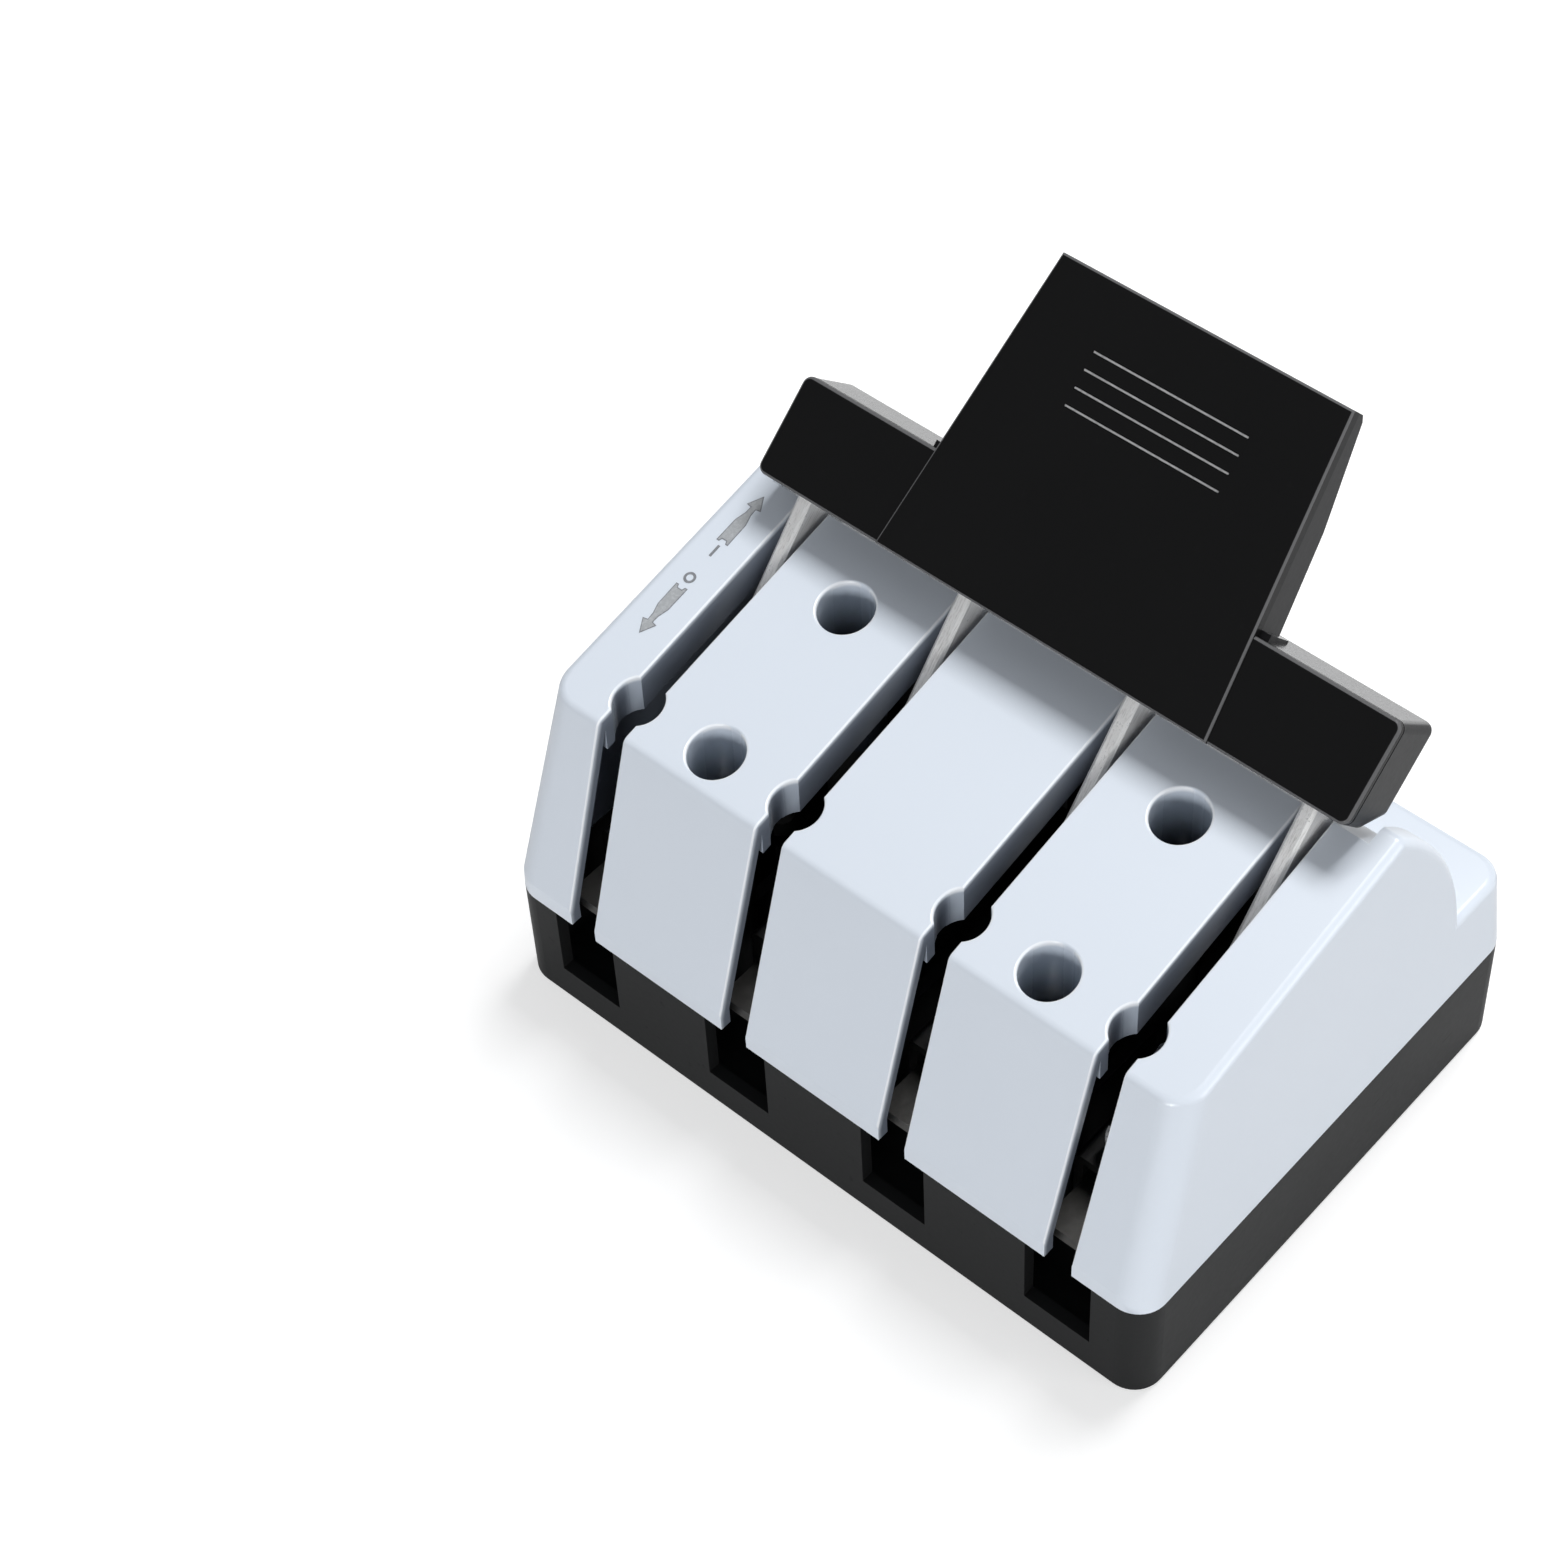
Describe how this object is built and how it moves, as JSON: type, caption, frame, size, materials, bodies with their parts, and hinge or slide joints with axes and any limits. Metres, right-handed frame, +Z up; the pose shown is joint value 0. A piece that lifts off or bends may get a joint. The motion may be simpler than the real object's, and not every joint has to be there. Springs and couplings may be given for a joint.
{
  "type": "knife disconnect switch",
  "caption": "Low-voltage knife disconnect switch: moulded base, slotted cover, swinging blades between hinge and jaw contacts, and one wide handle that moves them together.",
  "frame": {"origin": "middle of the base's flat underside", "axes": "+X across the poles, -Y to the load terminals at the front, +Z up out of the mounting surface; the handle is half open at rest"},
  "size_m": [0.15, 0.1107, 0.1333],
  "materials": {
    "base_plastic": "charcoal moulded thermoset, satin gloss",
    "cover_plastic": "pale blue-grey moulded plastic, glossy",
    "handle_plastic": "black moulded plastic, satin gloss",
    "tinned_copper": "tinned copper strip, brushed along its length",
    "plated_steel": "zinc-plated steel",
    "spring_steel": "hardened spring steel",
    "clamp_steel": "zinc-plated folded steel"
  },
  "bodies": {
    "housing": {"base": "base_plastic", "cover": "cover_plastic", "load_screws": "plated_steel", "line_screws": "plated_steel", "pivot_bolts": "plated_steel", "pivot_washers": "spring_steel", "pivot_nuts": "plated_steel", "contact_screws": "plated_steel", "cover_screws": "plated_steel", "hinge_contact_1": "tinned_copper", "jaw_contact_1": "tinned_copper", "jaw_clip_1": "spring_steel", "load_clamp_1": "clamp_steel", "line_clamp_1": "clamp_steel", "hinge_contact_2": "tinned_copper", "jaw_contact_2": "tinned_copper", "jaw_clip_2": "spring_steel", "load_clamp_2": "clamp_steel", "line_clamp_2": "clamp_steel", "hinge_contact_3": "tinned_copper", "jaw_contact_3": "tinned_copper", "jaw_clip_3": "spring_steel", "load_clamp_3": "clamp_steel", "line_clamp_3": "clamp_steel", "hinge_contact_4": "tinned_copper", "jaw_contact_4": "tinned_copper", "jaw_clip_4": "spring_steel", "load_clamp_4": "clamp_steel", "line_clamp_4": "clamp_steel"},
    "handle": {"handle_front": "handle_plastic", "handle_back": "handle_plastic", "handle_screws": "plated_steel", "tie_rod": "plated_steel", "blade_1": "tinned_copper", "blade_2": "tinned_copper", "blade_3": "tinned_copper", "blade_4": "tinned_copper"}
  },
  "joints": [
    {"name": "handle_swing", "type": "hinge", "parent": "housing", "child": "handle", "pos_m": [0, -0.019, 0.043], "axis": [1, 0, 0], "range_deg": [-41.3, 58.7]}
  ]
}
